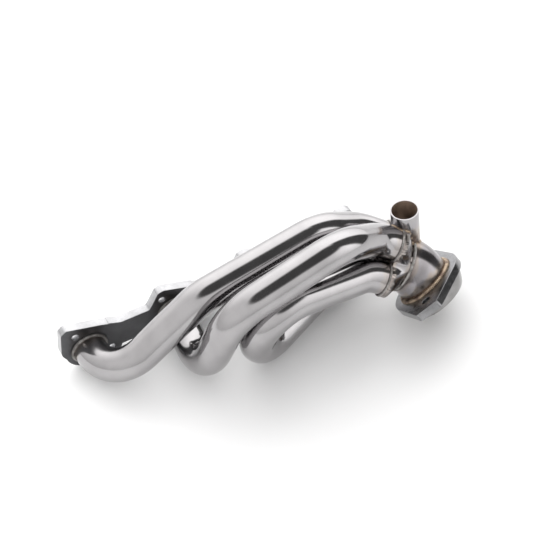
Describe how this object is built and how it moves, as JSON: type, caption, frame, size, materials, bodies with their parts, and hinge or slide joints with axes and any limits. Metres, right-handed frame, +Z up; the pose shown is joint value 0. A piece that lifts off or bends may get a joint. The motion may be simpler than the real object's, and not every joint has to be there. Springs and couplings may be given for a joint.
{
  "type": "exhaust manifold",
  "caption": "Short tubular exhaust manifold: thick port flange, curved primary tubes merging into a collector, side stub and bolted ball outlet.",
  "frame": {"origin": "centre of the first port on the gasket face of the head flange", "axes": "+X along the head flange towards the collector, +Y into the cylinder head (outward normal of the gasket face), +Z up in the flange plane"},
  "size_m": [0.4479, 0.1891, 0.1712],
  "materials": {
    "tube": "polished stainless",
    "tinted_tube": "polished stainless with faint heat tint near the welds",
    "flange": "ground stainless plate",
    "outlet_plate": "ground stainless plate",
    "cast": "turned stainless",
    "weld": "straw-coloured weld bead"
  },
  "bodies": {
    "root": {"head_flange": "flange", "primary_tube_1": "tube", "primary_tube_2": "tube", "primary_tube_3": "tube", "primary_tube_4": "tube", "port_weld_1": "weld", "port_weld_2": "weld", "port_weld_3": "weld", "port_weld_4": "weld", "collector": "tinted_tube", "inlet_weld_1": "weld", "inlet_weld_2": "weld", "inlet_weld_3": "weld", "inlet_weld_4": "weld", "seam_weld": "weld", "outlet_elbow": "tinted_tube", "stub_pipe": "tinted_tube", "stub_weld": "weld", "outlet_flange": "outlet_plate", "outlet_flange_weld": "weld", "ball_seat": "cast", "ball_seat_weld": "weld"}
  },
  "joints": []
}
